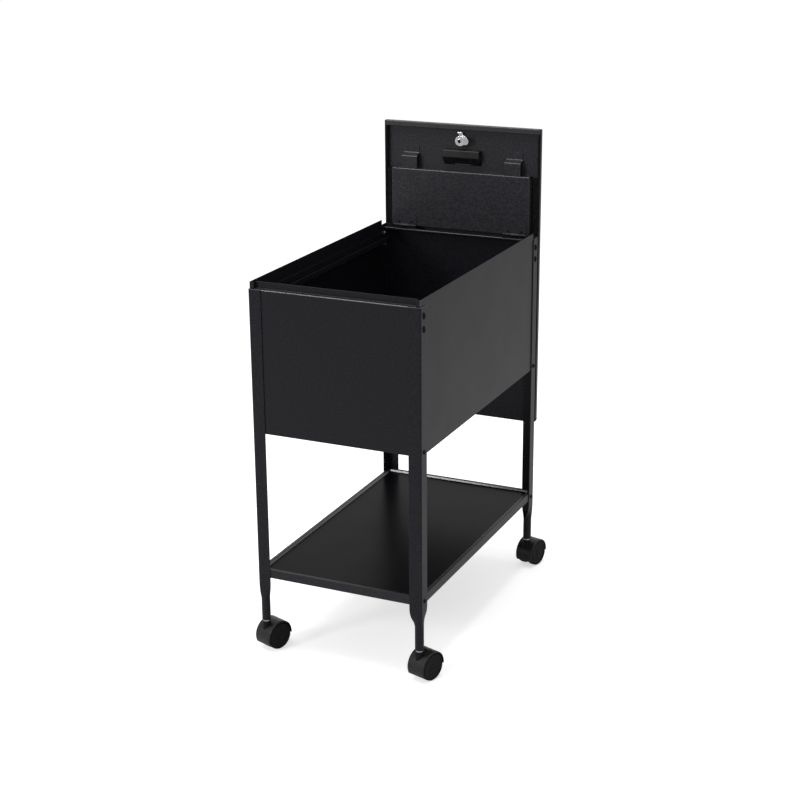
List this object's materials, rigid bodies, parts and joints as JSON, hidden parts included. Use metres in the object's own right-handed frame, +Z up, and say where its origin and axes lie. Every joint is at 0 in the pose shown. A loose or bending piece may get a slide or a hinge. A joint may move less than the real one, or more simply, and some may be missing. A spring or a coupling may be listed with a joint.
{
  "type": "mobile filing cabinet",
  "caption": "Black steel tub file on swivel casters with a lower shelf and a lockable lid that hangs open behind the tub.",
  "frame": {"origin": "on the floor under the middle of the four legs", "axes": "+Z up, -Y towards the front, +X to the right as seen from the front"},
  "size_m": [0.3828, 0.6458, 0.9465],
  "materials": {
    "black_powder_coat": "fine satin powder coat",
    "black_plastic": "fine moulded texture",
    "wheel_black": "smooth nylon",
    "bright_chrome": "bright plate",
    "zinc_steel": "zinc plated",
    "black_screw": "black plated"
  },
  "bodies": {
    "frame": {"leg_front_left": "black_powder_coat", "leg_front_right": "black_powder_coat", "leg_rear_left": "black_powder_coat", "leg_rear_right": "black_powder_coat", "tub_right_wall": "black_powder_coat", "tub_left_wall": "black_powder_coat", "tub_front_wall": "black_powder_coat", "tub_rear_wall": "black_powder_coat", "tub_floor": "black_powder_coat", "hanging_rail_right": "black_powder_coat", "hanging_rail_left": "black_powder_coat", "shelf": "black_powder_coat", "leg_screws": "black_screw", "leg_nuts": "zinc_steel", "hinge_fixed_leaf_right": "black_powder_coat", "hinge_fixed_leaf_left": "black_powder_coat", "hinge_pin_right": "zinc_steel", "hinge_pin_left": "zinc_steel", "lock_keeper": "zinc_steel", "caster_sockets": "zinc_steel"},
    "link": {"guide_plate": "black_powder_coat", "hinge_moving_leaf_right": "black_powder_coat", "hinge_moving_leaf_left": "black_powder_coat", "hinge_rivets": "black_screw"},
    "lid": {"lid_pan": "black_powder_coat", "stop_hook_right": "black_powder_coat", "stop_hook_left": "black_powder_coat", "finger_pull": "black_plastic", "lock_housing": "bright_chrome", "lock_nut": "bright_chrome"},
    "lock": {"lock_plug": "bright_chrome", "lock_cam": "bright_chrome", "cam_screw": "bright_chrome"},
    "caster_front_left": {"caster_front_left_stem": "zinc_steel", "caster_front_left_hood": "black_plastic", "caster_front_left_axle": "zinc_steel"},
    "wheel_front_left_left": {"caster_front_left_wheel_left": "wheel_black"},
    "wheel_front_left_right": {"caster_front_left_wheel_right": "wheel_black"},
    "caster_front_right": {"caster_front_right_stem": "zinc_steel", "caster_front_right_hood": "black_plastic", "caster_front_right_axle": "zinc_steel"},
    "wheel_front_right_left": {"caster_front_right_wheel_left": "wheel_black"},
    "wheel_front_right_right": {"caster_front_right_wheel_right": "wheel_black"},
    "caster_rear_left": {"caster_rear_left_stem": "zinc_steel", "caster_rear_left_hood": "black_plastic", "caster_rear_left_axle": "zinc_steel"},
    "wheel_rear_left_left": {"caster_rear_left_wheel_left": "wheel_black"},
    "wheel_rear_left_right": {"caster_rear_left_wheel_right": "wheel_black"},
    "caster_rear_right": {"caster_rear_right_stem": "zinc_steel", "caster_rear_right_hood": "black_plastic", "caster_rear_right_axle": "zinc_steel"},
    "wheel_rear_right_left": {"caster_rear_right_wheel_left": "wheel_black"},
    "wheel_rear_right_right": {"caster_rear_right_wheel_right": "wheel_black"}
  },
  "joints": [
    {"name": "lid_swing", "type": "hinge", "parent": "frame", "child": "link", "pos_m": [0, 0.2865, 0.7299], "axis": [1, 0, 0], "range_deg": [0, 90]},
    {"name": "lid_slide", "type": "slide", "parent": "link", "child": "lid", "axis": [0, 0, 1], "range_m": [0, 0.3659]},
    {"name": "lock_turn", "type": "hinge", "parent": "lid", "child": "lock", "pos_m": [0, 0.307, 0.914], "axis": [0, 1, 0], "range_deg": [-90, 0]},
    {"name": "swivel_front_left", "type": "hinge", "parent": "frame", "child": "caster_front_left", "pos_m": [-0.1625, -0.287, 0.0645], "axis": [0, 0, 1], "continuous": true},
    {"name": "spin_front_left_left", "type": "hinge", "parent": "caster_front_left", "child": "wheel_front_left_left", "pos_m": [-0.15634, -0.27009, 0.027], "axis": [0.9397, -0.342, 0], "continuous": true},
    {"name": "spin_front_left_right", "type": "hinge", "parent": "caster_front_left", "child": "wheel_front_left_right", "pos_m": [-0.15634, -0.27009, 0.027], "axis": [0.9397, -0.342, 0], "continuous": true},
    {"name": "swivel_front_right", "type": "hinge", "parent": "frame", "child": "caster_front_right", "pos_m": [0.1625, -0.287, 0.0645], "axis": [0, 0, 1], "continuous": true},
    {"name": "spin_front_right_left", "type": "hinge", "parent": "caster_front_right", "child": "wheel_front_right_left", "pos_m": [0.16806, -0.26988, 0.027], "axis": [0.9511, -0.309, 0], "continuous": true},
    {"name": "spin_front_right_right", "type": "hinge", "parent": "caster_front_right", "child": "wheel_front_right_right", "pos_m": [0.16806, -0.26988, 0.027], "axis": [0.9511, -0.309, 0], "continuous": true},
    {"name": "swivel_rear_left", "type": "hinge", "parent": "frame", "child": "caster_rear_left", "pos_m": [-0.1625, 0.287, 0.0645], "axis": [0, 0, 1], "continuous": true},
    {"name": "spin_rear_left_left", "type": "hinge", "parent": "caster_rear_left", "child": "wheel_rear_left_left", "pos_m": [-0.15754, 0.3043, 0.027], "axis": [0.9613, -0.2756, 0], "continuous": true},
    {"name": "spin_rear_left_right", "type": "hinge", "parent": "caster_rear_left", "child": "wheel_rear_left_right", "pos_m": [-0.15754, 0.3043, 0.027], "axis": [0.9613, -0.2756, 0], "continuous": true},
    {"name": "swivel_rear_right", "type": "hinge", "parent": "frame", "child": "caster_rear_right", "pos_m": [0.1625, 0.287, 0.0645], "axis": [0, 0, 1], "continuous": true},
    {"name": "spin_rear_right_left", "type": "hinge", "parent": "caster_rear_right", "child": "wheel_rear_right_left", "pos_m": [0.16655, 0.30454, 0.027], "axis": [0.9744, -0.225, 0], "continuous": true},
    {"name": "spin_rear_right_right", "type": "hinge", "parent": "caster_rear_right", "child": "wheel_rear_right_right", "pos_m": [0.16655, 0.30454, 0.027], "axis": [0.9744, -0.225, 0], "continuous": true}
  ]
}
